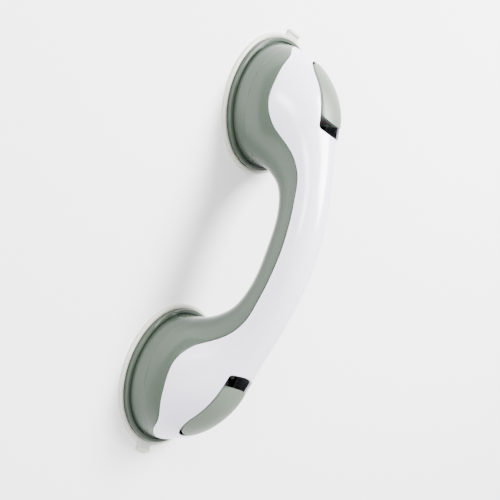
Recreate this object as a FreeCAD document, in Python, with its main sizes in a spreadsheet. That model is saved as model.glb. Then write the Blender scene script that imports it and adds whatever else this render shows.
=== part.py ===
"""Suction grab bar with two cam-levered cups.

The casing is a dog-bone handle: a round bowed grip that swells at each end into a
drum standing over a suction cup.  It is moulded in two pieces, an upper cover and a
lower cover, parted along a wavy seam.  In each drum a pressure plate carries a guide
tower; a stem slides in the tower, its foot bonded to the cup and its eye holding the
pivot pin of the lever.  The lever's cam cheeks stand on a steel wear plate, so that
closing the lever lifts the stem and the middle of the cup.

Frame: millimetres, +X along the bar, +Y across it, +Z away from the wall.  The origin
is on the wall plane, midway between the cups.  Every end piece is drawn about its own
cup axis with +X pointing to the end of the bar, and is then placed at both ends.
"""
import FreeCAD, Part
import math
import os
import Sketcher
from FreeCAD import Placement, Rotation, Vector

DRIVING_DIMENSIONS = (
    ("cup_axis", 96, "middle of the bar to the axis of each cup"),
    ("grip_crown", 76.4, "height of the top of the grip"),
    ("grip_belly", 43.4, "height of the underside of the grip"),
    ("grip_half_width", 16.4, "half the width of the grip"),
    ("casing_foot", 5, "height of the foot of the drums"),
    ("drum_radius", 42.3, "outside radius of a drum at its foot"),
    ("casing_wall", 2.4, "wall of both covers"),
    ("fan_axis_out", 26, "where the cross sections turn about, from the middle"),
    ("fan_axis_height", 14, "height of the line the cross sections turn about"),
    ("lever_half_width", 12.2, "half the width of a lever"),
    ("lever_inner", -5.4, "inner end of a lever from the cup axis"),
    ("lever_outer", 33, "outer end of a lever from the cup axis"),
    ("lever_end_wall", 2.8, "wall of a lever's inner end"),
    ("lever_bow_radius", 50, "radius that the inner end of a lever is bowed to"),
    ("lever_bow_rise", 0.8, "rise of that bow between the corners"),
    ("lever_corner", 3.5, "corner radius of a lever's inner end"),
    ("lever_top", 60, "height that a lever is cut down from"),
    ("skirt_inner_height", 49.4, "underside of a lever's skirt at its inner end"),
    ("skirt_cam_height", 40.4, "underside of the skirt beyond the wear plate"),
    ("skirt_knee_height", 32.4, "underside of the skirt near the outer end"),
    ("skirt_outer_height", 20.3, "underside of the skirt at the outer end"),
    ("lever_wall", 4.1, "depth of a lever's wall over its hollow, measured upright"),
    ("crown_start_out", -9, "inner end of the lever's crown line from the cup axis"),
    ("crown_start_height", 58.6, "height of the crown line there"),
    ("crown_end_out", 36, "outer end of the lever's crown line from the cup axis"),
    ("crown_end_height", 24.6, "height of the crown line there"),
    ("crown_along", 67, "radius of the crown along the lever"),
    ("crown_across", 32, "radius of the crown across the lever at its ends"),
    ("shoulder_across", 19, "radius of the lever's sloped sides at its ends"),
    ("shoulder_inner_lift", 0.6, "lift of the sloped sides over the crown, inner end"),
    ("shoulder_outer_lift", 2.8, "lift of the sloped sides over the crown, outer end"),
    ("crown_lean_out", 0.6028, "outward part of the crown's unit normal"),
    ("crown_lean_up", 0.7979, "upward part of the crown's unit normal"),
    ("swing_reach", 38, "reach of a lever's outer end from its pin"),
    ("swing_side", 21.2, "distance from the pin where the swept end meets the sides"),
    ("swing_half_width", 12.4, "half the width of the swept end"),
    ("swing_nose", 9.94, "radius of the swept end's outline at its nose"),
    ("swing_turn", 15.45, "radius of that outline between the nose and the flanks"),
    ("swing_flank", 21.7, "radius of that outline at its flanks"),
    ("lever_gap", 0.6, "gap around a lever in its slot"),
    ("slot_inner", -13.6, "inner end of the lever slot from the cup axis"),
    ("slot_arch", 1.6, "rise of the arched inner end of the slot"),
    ("slot_corner", 2, "corner radius of the slot's inner end"),
    ("pin_height", 47.9, "height of the pivot pin with the lever closed"),
    ("pin_radius", 2.5, "radius of the pivot pin"),
    ("pin_clearance", 0.05, "radial running clearance of the lever on its pin"),
    ("cheek_inner", 5.6, "inner face of a cam cheek"),
    ("cheek_thickness", 3.6, "thickness of a cam cheek"),
    ("cam_closed", 9, "height of the pin over the wear plate, closed"),
    ("cam_stroke", 3.5, "drop of the pin over the lever's quarter turn"),
    ("cam_clearance", 0.2, "gap between the cams and the wear plate"),
    ("stem_radius", 7, "radius of the stem"),
    ("stem_clearance", 0.3, "radial gap of the stem in its guide"),
    ("stem_foot_radius", 14, "radius of the stem's foot"),
    ("stem_foot_height", 9.5, "height of the underside of the stem's foot"),
    ("stem_foot_thickness", 1.5, "thickness of the stem's foot"),
    ("eye_half_length", 4.8, "half the length of the stem's eye"),
    ("eye_half_width", 5.2, "half the width of the stem's eye"),
    ("wear_plate_radius", 14.5, "radius of the wear plate"),
    ("wear_plate_thickness", 1.3, "thickness of the wear plate"),
    ("plate_radius", 45, "radius of the pressure plate's rim"),
    ("plate_foot", 1.2, "height of the underside of the rim"),
    ("plate_rim_top", 4.6, "height of the top of the rim"),
    ("plate_web", 3, "thickness of the pressure plate's deck and web"),
    ("plate_deck", 7.4, "height of the deck that the covers are screwed to"),
    ("spring_seat", 16, "height of the underside of the guide tower"),
    ("cone_radius", 30, "outer radius of the cone that carries the tower"),
    ("tower_foot_radius", 13, "radius of the tower where the cone meets it"),
    ("tower_neck_radius", 11, "radius of the tower's neck"),
    ("deck_ledge", 0.5, "gap between the deck's step and the lower cover"),
    ("spring_radius", 9.6, "middle radius of the release spring"),
    ("spring_wire", 0.5, "radius of the spring's wire"),
    ("cup_radius", 48, "radius of the suction cup's lip"),
    ("cup_lip_height", 2, "height of the lip outside the rim"),
    ("tab_reach", 52.4, "outer end of the pull tab from the cup axis"),
    ("tab_half_width", 6.5, "half the width of the pull tab"),
    ("tab_foot", 0.35, "height of the underside of the pull tab"),
    ("tab_corner", 2.5, "corner radius of the pull tab"),
    ("tab_thickness", 1.1, "thickness of the pull tab"),
    ("tab_bead_width", 2.2, "width of the bead along the end of the pull tab"),
    ("tab_bead_height", 1.9, "height of that bead"),
    ("deck_screw_circle", 36.6, "radius of the circle of deck screws"),
    ("screw_radius", 1.5, "radius of a screw's shank"),
    ("screw_head_radius", 2.8, "radius of a screw's head"),
    ("screw_head_height", 1.7, "height of a screw's head"),
    ("screw_length", 9.5, "length of a screw's shank"),
    ("boss_radius", 3.9, "radius of a screw boss"),
    ("cover_screw_in", -12, "cover screws from the cup axis, along the bar"),
    ("cover_screw_side", 28, "cover screws from the cup axis, across the bar"),
    ("lug_bottom", 21.5, "height of the underside of the lower cover's lugs"),
    ("lug_top", 25.5, "height of the top of the lower cover's lugs"),
)
QUARTER_TURN = math.pi / 2
DECK_SCREW_ANGLES = (60, 180, 300)

document = FreeCAD.newDocument("suction_grab_bar")
sheet = document.addObject("Spreadsheet::Sheet", "Sheet")
for row, (alias, value, meaning) in enumerate(DRIVING_DIMENSIONS, start=1):
    sheet.set("A%d" % row, meaning)
    sheet.set("B%d" % row, str(value))
    sheet.setAlias("B%d" % row, alias)
document.recompute()


class Size:
    """A length that knows both its value and the sheet expression it comes from."""

    def __init__(self, value, text):
        self.value = value
        self.text = text

    def __add__(self, other):
        return combine(self, "+", other)

    def __sub__(self, other):
        return combine(self, "-", other)

    def __mul__(self, other):
        return combine(self, "*", other)

    def __neg__(self):
        return Size(-self.value, "(-1 * %s)" % self.text)


def combine(left, sign, right):
    left, right = as_size(left), as_size(right)
    results = {
        "+": left.value + right.value,
        "-": left.value - right.value,
        "*": left.value * right.value,
    }
    return Size(results[sign], "(%s %s %s)" % (left.text, sign, right.text))


def as_size(value):
    return value if isinstance(value, Size) else Size(float(value), "%g" % value)


def dim(alias):
    """The named cell of the sheet."""
    return Size(float(sheet.get(alias)), "Sheet.%s" % alias)


def num(alias):
    """The value in the named cell, for the shapes worked out in code."""
    return float(sheet.get(alias))


def bind(target, field, size):
    """Give a property its value and the expression that keeps it."""
    size = as_size(size)
    target.setExpression(field, size.text)


# ---------------------------------------------------------------- sketches

def origin_part(body, role):
    """One of a body's own origin planes or axes."""
    for feature in body.Origin.OriginFeatures:
        if feature.Role == role:
            return feature
    raise ValueError("no origin part " + role)


def new_sketch(body, name, role, offset=None):
    """An empty sketch on one of the body's own origin planes, lifted by an offset."""
    sketch = body.newObject("Sketcher::SketchObject", name)
    sketch.AttachmentSupport = [(origin_part(body, role), "")]
    sketch.MapMode = "FlatFace"
    if offset is not None:
        bind(sketch, "AttachmentOffset.Base.z", offset)
    return sketch


def place_point(sketch, geometry, position, point):
    """Hold one end of a line where the sheet puts it."""
    for kind, size in zip(("DistanceX", "DistanceY"), point):
        size = as_size(size)
        index = sketch.addConstraint(
            Sketcher.Constraint(kind, -1, 1, geometry, position, size.value))
        sketch.setExpression("Constraints[%d]" % index, size.text)


def add_outline(sketch, points):
    """A closed outline through points (across, up), or (across, up, radius) before an arc.

    An arc with a positive radius bends to the left of the way the outline runs.
    """
    spots = [Vector(as_size(p[0]).value, as_size(p[1]).value, 0) for p in points]
    count = len(spots)
    sides = []
    for index, point in enumerate(points):
        start, end = spots[index], spots[(index + 1) % count]
        if len(point) == 2:
            sides.append((sketch.addGeometry(Part.LineSegment(start, end), False), 1, 2))
            continue
        radius = as_size(point[2])
        sides.append(add_arc(sketch, start, end, radius))
    for index, (side, start, end) in enumerate(sides):
        place_point(sketch, side, start, points[index][:2])
        following = sides[(index + 1) % count]
        sketch.addConstraint(Sketcher.Constraint(
            "Coincident", side, end, following[0], following[1]))


def add_arc(sketch, start, end, radius):
    """The shorter arc between two spots, and which of its ends is at which spot."""
    reach = abs(radius.value)
    chord = end - start
    height = math.sqrt(max(reach ** 2 - (chord.Length / 2) ** 2, 0))
    left = Vector(-chord.y, chord.x, 0).normalize()
    bends_left = radius.value > 0
    centre = (start + end) / 2 + left * (height if bends_left else -height)
    first, last = (start, end) if bends_left else (end, start)
    from_angle = math.atan2(first.y - centre.y, first.x - centre.x)
    to_angle = math.atan2(last.y - centre.y, last.x - centre.x)
    circle = Part.Circle(centre, Vector(0, 0, 1), reach)
    index = sketch.addGeometry(Part.ArcOfCircle(circle, from_angle, to_angle), False)
    rule = sketch.addConstraint(Sketcher.Constraint("Radius", index, reach))
    sketch.setExpression("Constraints[%d]" % rule, "abs(%s)" % radius.text)
    return (index, 1, 2) if bends_left else (index, 2, 1)


def add_circle(sketch, centre, radius):
    """A circle whose centre and radius come from the sheet."""
    spot = Vector(as_size(centre[0]).value, as_size(centre[1]).value, 0)
    radius = as_size(radius)
    index = sketch.addGeometry(Part.Circle(spot, Vector(0, 0, 1), radius.value), False)
    place_point(sketch, index, 3, centre)
    rule = sketch.addConstraint(Sketcher.Constraint("Radius", index, radius.value))
    sketch.setExpression("Constraints[%d]" % rule, radius.text)


def pad(body, sketch, name, length, both_ways=False):
    feature = body.newObject("PartDesign::Pad", name)
    feature.Profile = sketch
    feature.Midplane = both_ways
    bind(feature, "Length", length)
    return feature


def pocket_through(body, sketch, name):
    """Cut the sketch through the body, to both sides of its plane."""
    feature = body.newObject("PartDesign::Pocket", name)
    feature.Profile = sketch
    feature.Type = "ThroughAll"
    feature.Midplane = True
    return feature


def pocket_across(body, sketch, name, half_length):
    """Cut the sketch evenly to both sides of its plane."""
    feature = body.newObject("PartDesign::Pocket", name)
    feature.Profile = sketch
    feature.Midplane = True
    bind(feature, "Length", half_length * 2)
    return feature


def revolve(body, sketch, name, kind="PartDesign::Revolution", axis="V_Axis"):
    feature = body.newObject(kind, name)
    feature.Profile = sketch
    feature.ReferenceAxis = (sketch, [axis])
    feature.Angle = 360
    return feature


def cut_circles(body, name, centres, radius, start, length):
    """Round holes upwards from a height, one for each centre."""
    document.recompute()
    before = body.Shape.Volume
    sketch = new_sketch(body, name + "_sketch", "XY_Plane", start)
    for centre in centres:
        add_circle(sketch, centre, radius)
    feature = body.newObject("PartDesign::Pocket", name)
    feature.Profile = sketch
    feature.Reversed = True
    bind(feature, "Length", length)
    document.recompute()
    if not body.Shape.Volume < before:
        raise ValueError(name + " cuts nothing")


# ---------------------------------------------------------------- casing shape

def smooth_curve(points):
    """A curve through points (x, z) of the right half, carried on to the left half."""
    mirrored = [(-x, z) for x, z in points[:0:-1]]
    curve = Part.BSplineCurve()
    curve.interpolate([Vector(x, 0, z) for x, z in mirrored + list(points)])
    return curve


def crossing(curve, side):
    """The point of a curve's right half where side(point) passes through zero."""
    high = curve.LastParameter
    low = curve.FirstParameter + 0.499 * (high - curve.FirstParameter)
    if side(curve.value(low)) * side(curve.value(high)) > 0:
        raise ValueError("the section plane misses the outline")
    for _ in range(50):
        middle = (low + high) / 2
        if side(curve.value(low)) * side(curve.value(middle)) <= 0:
            high = middle
        else:
            low = middle
    return curve.value(high)


def section_planes():
    """The section planes of the right half, as side functions with a fan angle.

    They lie level in the drum, turn about the fan axis through the shoulder, and stand
    upright across the grip.
    """
    axis_out = num("fan_axis_out")
    axis_height = num("fan_axis_height")
    planes = []
    for height in (num("casing_foot"), 9.5):
        planes.append((lambda p, z=height: p.z - z, 0.0))
    for step in range(13):
        angle = QUARTER_TURN * step / 12
        across = Vector(-math.sin(angle), 0, math.cos(angle))
        foot = Vector(axis_out, 0, axis_height)
        planes.append((lambda p, n=across, f=foot: n.dot(p - f), angle))
    for out in (axis_out / 2, 0.0):
        planes.append((lambda p, x=out: x - p.x, QUARTER_TURN))
    return planes


def casing_sections():
    """Each section of the right half: its inner point, outer point and half width."""
    crown = num("grip_crown")
    belly = num("grip_belly")
    foot = num("casing_foot")
    drum_in = num("cup_axis") - num("drum_radius")
    drum_out = num("cup_axis") + num("drum_radius")
    top = smooth_curve((
        (0, crown), (20, crown - 1.2), (40, crown - 4.6), (60, crown - 9.8), (80, crown - 15.8),
        (96, crown - 21), (110, crown - 28), (drum_out - 17.6, 39.8), (drum_out - 9.6, 30.2),
        (drum_out - 4, 19.5), (drum_out - 1, 11), (drum_out, foot - 0.01)))
    under = smooth_curve((
        (0, belly), (16, belly - 0.4), (30, belly - 3.2), (40, belly - 8), (46.4, 29),
        (drum_in - 3, 21.5), (drum_in - 0.8, 13.5), (drum_in, foot - 0.01)))
    # Half width against the fan angle, from the drum's to the grip's.
    widths = Part.BSplineCurve()
    widths.interpolate([Vector(math.radians(a), w, 0) for a, w in (
        (0, 41.9), (10, 38.4), (20, 32.3), (30, 26.2), (45, 20.3), (60, 17.8),
        (90, num("grip_half_width")))])
    sections = []
    for side, angle in section_planes():
        inner = crossing(under, side)
        outer = crossing(top, side)
        if angle == 0:
            half_width = (outer - inner).Length / 2
        else:
            half_width = crossing_height(widths, angle)
        sections.append((inner, outer, half_width))
    return sections


def crossing_height(curve, across):
    """Read a curve of (across, height) at one place across."""
    low, high = curve.FirstParameter, curve.LastParameter
    for _ in range(50):
        middle = (low + high) / 2
        if curve.value(middle).x < across:
            low = middle
        else:
            high = middle
    return curve.value(high).y


def casing_solid(inset, below):
    """The handle's outer form, drawn in by an inset and run on below the drums' feet.

    Every cross section is an oval stretched from one round ring of poles, and the poles
    follow smooth curves from the foot of one drum to the foot of the other.
    """
    half = []
    for inner, outer, half_width in casing_sections():
        inwards = (outer - inner).normalize() * inset
        half.append((inner + inwards, outer - inwards, half_width - inset))
    if below:
        drop = Vector(0, 0, -below)
        inner, outer, half_width = half[0]
        half.insert(0, (inner + drop, outer + drop, half_width))
    left = [(Vector(-a.x, 0, a.z), Vector(-b.x, 0, b.z), w) for a, b, w in half[-2::-1]]
    sections = half + left

    places = [0.0]
    for before, after in zip(sections, sections[1:]):
        step = (after[0] - before[0]).Length + (after[1] - before[1]).Length
        places.append(places[-1] + step / 2)
    inner_line = follow([section[0] for section in sections], places)
    outer_line = follow([section[1] for section in sections], places)
    widths = [section[2] for section in sections]
    width_line = follow([Vector(x, y, 0) for x, y in zip(places, widths)], places)

    ring = Part.BSplineCurve()
    turns = [2 * math.pi * step / 16 for step in range(16)]
    ring.interpolate(
        Points=[Vector(math.cos(turn), math.sin(turn), 0) for turn in turns], PeriodicFlag=True)
    poles = []
    for inner, outer, width_pole in zip(
            inner_line.getPoles(), outer_line.getPoles(), width_line.getPoles()):
        centre = (inner + outer) / 2
        reach = (outer - inner) / 2
        across = Vector(0, width_pole.y, 0)
        poles.append([centre + reach * spoke.x + across * spoke.y for spoke in ring.getPoles()])
    surface = Part.BSplineSurface()
    surface.buildFromPolesMultsKnots(
        poles, inner_line.getMultiplicities(), ring.getMultiplicities(),
        inner_line.getKnots(), ring.getKnots(), False, True, inner_line.Degree, ring.Degree)
    skin = surface.toShape()
    faces = [skin]
    for place in (places[0], places[-1]):
        faces.append(Part.Face(Part.Wire(surface.uIso(place).toShape())))
    solid = Part.Solid(Part.makeShell(Part.makeCompound(faces).Faces))
    solid.sewShape()
    solid = Part.Solid(solid.Shells[0])
    if solid.Volume < 0:
        solid.reverse()
    return solid


def follow(points, places):
    """A curve that meets each point at its own place."""
    curve = Part.BSplineCurve()
    curve.interpolate(Points=points, Parameters=places)
    return curve


def above_seam():
    """A block holding all of the casing above the seam between the covers."""
    seam = smooth_curve((
        (0, 62.1), (12, 61.5), (24, 60.2), (36, 58.2), (48.5, 55.4), (56, 51.7), (62, 47.2),
        (69, 39.4), (74, 33.9), (79, 30.9), (88, 28.1), (96, 27.4), (105, 26.8), (115, 25.2),
        (122, 23.4), (128.5, 19.2), (132.5, 15), (136, 11.4), (139, 7.6), (144, 5.2)))
    start, end = seam.value(seam.FirstParameter), seam.value(seam.LastParameter)
    corners = [end, Vector(end.x, 0, 90), Vector(start.x, 0, 90), start]
    edges = [seam.toShape()]
    for first, second in zip(corners, corners[1:]):
        edges.append(Part.makeLine(first, second))
    block = Part.Face(Part.Wire(edges)).extrude(Vector(0, 120, 0))
    block.translate(Vector(0, -60, 0))
    return block


def both_ends(shape):
    """A shape drawn about the right-hand cup axis, and its twin at the left end."""
    right = shape.copy()
    right.translate(Vector(num("cup_axis"), 0, 0))
    left = right.copy()
    left.rotate(Vector(0, 0, 0), Vector(0, 0, 1), 180)
    return [right, left]


def slot_block():
    """The lever slot as a prism: an arched inner end, straight sides and a round outer end."""
    half = num("lever_half_width") + num("lever_gap")
    outer = num("lever_outer") + num("lever_gap")
    inner = num("slot_inner")
    arch = num("slot_arch")
    near = [Vector(inner + arch, -half, 0), Vector(outer - half, -half, 0)]
    far = [Vector(outer - half, half, 0), Vector(inner + arch, half, 0)]
    edges = [
        Part.makeLine(near[0], near[1]),
        Part.Arc(near[1], Vector(outer, 0, 0), far[0]).toShape(),
        Part.makeLine(far[0], far[1]),
        Part.Arc(far[1], Vector(inner, 0, 0), near[0]).toShape()]
    block = Part.Face(Part.Wire(edges)).extrude(Vector(0, 0, 50))
    corners = [edge for edge in block.Edges if len(edge.Vertexes) == 2
               and all(abs(v.X - near[0].x) < 0.01 for v in edge.Vertexes)
               and abs(edge.Vertexes[0].Z - edge.Vertexes[1].Z) > 1]
    block = block.makeFillet(num("slot_corner"), corners)
    block.translate(Vector(0, 0, 20))
    return block


def cover_screw_spots():
    return [(num("cover_screw_in"), side * num("cover_screw_side")) for side in (1, -1)]


def deck_screw_spots():
    circle = num("deck_screw_circle")
    turns = [math.radians(angle) for angle in DECK_SCREW_ANGLES]
    return [(circle * math.cos(turn), circle * math.sin(turn)) for turn in turns]


def post(spot, radius, bottom, top):
    """An upright round post or hole at a spot about the cup axis."""
    return Part.makeCylinder(radius, top - bottom, Vector(spot[0], spot[1], bottom))


def make_covers():
    outside = casing_solid(0, 0)
    cavity = casing_solid(num("casing_wall"), 2)
    upper_block = above_seam()
    walls = outside.cut(cavity)

    upper = walls.common(upper_block)
    for spot in cover_screw_spots():
        bosses = both_ends(post(spot, num("boss_radius"), num("lug_top"), 70))
        upper = upper.fuse([boss.common(outside) for boss in bosses])
        upper = upper.cut(both_ends(post(
            spot, num("screw_radius"), 0, num("lug_bottom") + num("screw_length"))))
    upper = upper.cut(both_ends(slot_block()))

    lower = walls.cut(upper_block)
    for spot in cover_screw_spots():
        side = 1 if spot[1] > 0 else -1
        lug = Part.makeBox(2 * num("boss_radius") + 1, 16, num("lug_top") - num("lug_bottom"))
        lug.translate(Vector(spot[0] - num("boss_radius") - 0.5,
                             spot[1] - 8 + 4 * side, num("lug_bottom")))
        lugs = both_ends(lug)
        lower = lower.fuse([piece.common(outside) for piece in lugs])
        lower = lower.cut(both_ends(post(spot, num("screw_radius"), 0, 40)))
    for spot in deck_screw_spots():
        boss = post(spot, num("boss_radius"), num("plate_deck"), num("lug_bottom") - 3)
        lower = lower.fuse([piece.common(outside) for piece in both_ends(boss)])
        screw_top = (num("plate_deck") - num("plate_web") + num("screw_head_height")
                     + num("screw_length"))
        lower = lower.cut(both_ends(post(spot, num("screw_radius"), 0, screw_top)))
    return upper.removeSplitter(), lower.removeSplitter()


def feature_of(name, shape):
    feature = document.addObject("Part::Feature", name)
    feature.Label = name
    feature.Shape = shape
    return feature


# ---------------------------------------------------------------- pieces at each end

def new_body(name):
    body = document.addObject("PartDesign::Body", name)
    body.Label = name
    return body


def turned_body(name, outline):
    """A body turned about the cup axis from an outline of (radius, height) points."""
    body = new_body(name)
    sketch = new_sketch(body, name + "_outline", "XZ_Plane")
    add_outline(sketch, outline)
    revolve(body, sketch, name + "_turned")
    return body


def make_pressure_plate(name):
    """The rim that presses the cup's lip, its web, and the guide tower of the stem."""
    bore = dim("stem_radius") + dim("stem_clearance")
    rim, foot, top = dim("plate_radius"), dim("plate_foot"), dim("plate_rim_top")
    deck, seat, web = dim("plate_deck"), dim("spring_seat"), dim("plate_web")
    wear_seat = (dim("pin_height") - dim("cam_closed") - dim("cam_clearance")
                 - dim("wear_plate_thickness"))
    shoulder = dim("drum_radius") - dim("casing_wall") - dim("deck_ledge")
    cone, tower, neck = dim("cone_radius"), dim("tower_foot_radius"), dim("tower_neck_radius")
    flange = dim("wear_plate_radius")
    body = turned_body(name, (
        (rim, foot), (rim, top), (shoulder + 2.2, top), (shoulder + 2.2, dim("casing_foot")),
        (shoulder, dim("casing_foot")), (shoulder, deck), (cone, deck), (tower, seat + web),
        (neck, seat + web * 1.5), (neck, wear_seat - 3), (flange, wear_seat - 1.5),
        (flange, wear_seat), (bore, wear_seat), (bore, seat), (tower, seat),
        (cone - 1, deck - web), (rim - 6.5, deck - web), (rim - 4, foot)))
    document.recompute()
    rib = new_sketch(body, name + "_rib_outline", "XZ_Plane")
    add_outline(rib, (
        (neck - 1, seat + web), (cone - 2, deck + 1), (cone - 2, deck + 2),
        (neck - 1, wear_seat - 4)))
    first_rib = pad(body, rib, name + "_rib", 1.6, both_ways=True)
    document.recompute()
    ribs = body.newObject("PartDesign::PolarPattern", name + "_ribs")
    ribs.Originals = [first_rib]
    ribs.Axis = (origin_part(body, "Z_Axis"), [""])
    ribs.Angle = 360
    ribs.Occurrences = 6
    body.Tip = ribs
    circle = dim("deck_screw_circle")
    spots = []
    for angle in DECK_SCREW_ANGLES:
        turn = math.radians(angle)
        spots.append((circle * round(math.cos(turn), 6), circle * round(math.sin(turn), 6)))
    cut_circles(body, name + "_screw_holes", spots, dim("screw_radius"), 0, deck + 1)
    cut_circles(body, name + "_screw_recesses", spots, dim("screw_head_radius") + 0.2,
                0, deck - web + dim("screw_head_height"))
    return body


def make_suction_cup(name):
    """The soft cup: a lip under the plate's rim, a domed middle and a pull tab."""
    rim, foot = dim("plate_radius"), dim("plate_foot")
    lip, lip_top = dim("cup_radius"), dim("cup_lip_height")
    boss, middle = dim("stem_foot_radius"), dim("stem_foot_height")
    rise = dim("cam_stroke")
    body = turned_body(name, (
        (0, rise), (20, rise - 0.9), (34, rise * 0.25), (40, 0), (lip - 0.3, 0), (lip, 0.5),
        (lip - 0.5, lip_top - 0.3), (lip - 1, lip_top), (rim + 0.3, lip_top - 0.2),
        (rim + 0.3, foot), (40.5, foot), (38, 3.2), (29, 3.3), (boss + 1.5, middle - 0.5),
        (boss + 0.5, middle), (0, middle)))
    document.recompute()
    tab_foot = dim("tab_foot")
    sketch = new_sketch(body, name + "_tab_outline", "XY_Plane", tab_foot)
    half, reach, corner = dim("tab_half_width"), dim("tab_reach"), dim("tab_corner")
    add_outline(sketch, (
        (lip - 2, -half - 2), (reach - corner, -half, corner), (reach, -half + corner),
        (reach, half - corner, corner), (reach - corner, half), (lip - 2, half + 2)))
    pad(body, sketch, name + "_tab", dim("tab_thickness"))
    bead = new_sketch(body, name + "_bead_outline", "XZ_Plane")
    high = dim("tab_bead_height")
    start, end = reach - dim("tab_bead_width"), reach - 0.1
    add_outline(bead, (
        (start, tab_foot), (end, tab_foot), (end, high - 0.5), (end - 0.5, high),
        (start + 0.5, high), (start, high - 0.5)))
    pad(body, bead, name + "_bead", half * 2 - corner, both_ways=True)
    return body


def make_cup_stem(name):
    """The stem: a foot bonded to the cup, a round shaft and a flat eye for the pin."""
    foot, thickness = dim("stem_foot_height"), dim("stem_foot_thickness")
    pin_height, eye = dim("pin_height"), dim("eye_half_length")
    shaft_top = pin_height - dim("cam_closed") - 1
    body = turned_body(name, (
        (0, foot), (dim("stem_foot_radius"), foot), (dim("stem_foot_radius"), foot + thickness),
        (dim("stem_radius"), foot + thickness), (dim("stem_radius"), shaft_top), (0, shaft_top)))
    document.recompute()
    sketch = new_sketch(body, name + "_eye_outline", "XZ_Plane")
    add_outline(sketch, (
        (-eye, shaft_top - 1), (eye, shaft_top - 1), (eye, pin_height, eye),
        (0, pin_height + eye, eye), (-eye, pin_height)))
    pad(body, sketch, name + "_eye", dim("eye_half_width") * 2, both_ways=True)
    document.recompute()
    bore = new_sketch(body, name + "_bore_outline", "XZ_Plane")
    add_circle(bore, (0, pin_height), dim("pin_radius"))
    pocket_through(body, bore, name + "_bore")
    return body


def make_pivot_pin(name):
    """The steel pin, pressed into the stem's eye, its ends eased."""
    body = new_body(name)
    sketch = new_sketch(body, name + "_outline", "XZ_Plane")
    add_circle(sketch, (0, dim("pin_height")), dim("pin_radius"))
    half = dim("cheek_inner") + dim("cheek_thickness")
    barrel = pad(body, sketch, name + "_barrel", half * 2 - 0.6, both_ways=True)
    document.recompute()
    ends = body.newObject("PartDesign::Chamfer", name + "_ends")
    rims = ["Edge%d" % (number + 1) for number, edge in enumerate(barrel.Shape.Edges)
            if isinstance(edge.Curve, Part.Circle)]
    ends.Base = (barrel, rims)
    bind(ends, "Size", 0.4)
    return body


def make_wear_plate(name):
    """The steel washer under the cams."""
    top = dim("pin_height") - dim("cam_closed") - dim("cam_clearance")
    bore = dim("stem_radius") + dim("stem_clearance") + 0.2
    outer = dim("wear_plate_radius")
    return turned_body(name, (
        (bore, top - dim("wear_plate_thickness")), (outer, top - dim("wear_plate_thickness")),
        (outer, top), (bore, top)))


def cam_outline():
    """The cam's involute and the straight sides that carry it up into the lever.

    An involute's height over a flat plate falls evenly as it turns.
    """
    fall = num("cam_stroke") / QUARTER_TURN
    pin = Vector(0, num("pin_height"), 0)
    spots = []
    for step in range(12):
        turn = math.radians(10 * step - 20)
        height = num("cam_closed") - fall * turn
        down = Vector(-math.sin(turn), -math.cos(turn), 0)
        along = Vector(math.cos(turn), -math.sin(turn), 0)
        spots.append(pin + down * height + along * fall)
    involute = Part.BSplineCurve()
    involute.interpolate(spots)
    corners = [spots[-1], pin + Vector(-3.2, 5, 0), pin + Vector(13, -1, 0), spots[0]]
    return [involute] + [Part.LineSegment(a, b) for a, b in zip(corners, corners[1:])]


def sweep_end(body, name):
    """Cut the lever's outer end back to a face turned about the pin.

    Every point of the face keeps its distance from the pin as the lever swings, so the
    end rises out of its slot without reaching further out than its own top edge.
    """
    reach, side = dim("swing_reach"), dim("swing_side")
    half = dim("swing_half_width")
    length = reach - side
    cos_30 = math.cos(math.radians(30))
    turn, flank, nose = dim("swing_turn"), dim("swing_flank"), dim("swing_nose")
    outside = new_sketch(body, name + "_swing_outline", "XY_Plane", dim("pin_height"))
    clear = half + 3
    add_outline(outside, (
        (side, -half, flank), (side + length * 0.5, -half * cos_30, turn),
        (side + length * cos_30, -half * 0.5, nose), (reach, 0, nose),
        (side + length * cos_30, half * 0.5, turn), (side + length * 0.5, half * cos_30, flank),
        (side, half), (side, clear), (reach + 25, clear), (reach + 25, -clear), (side, -clear)))
    before = body.Shape.Volume
    revolve(body, outside, name + "_swing", "PartDesign::Groove", "V_Axis")
    document.recompute()
    if not body.Shape.Volume < before:
        raise ValueError("the swept end cuts nothing")


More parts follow.
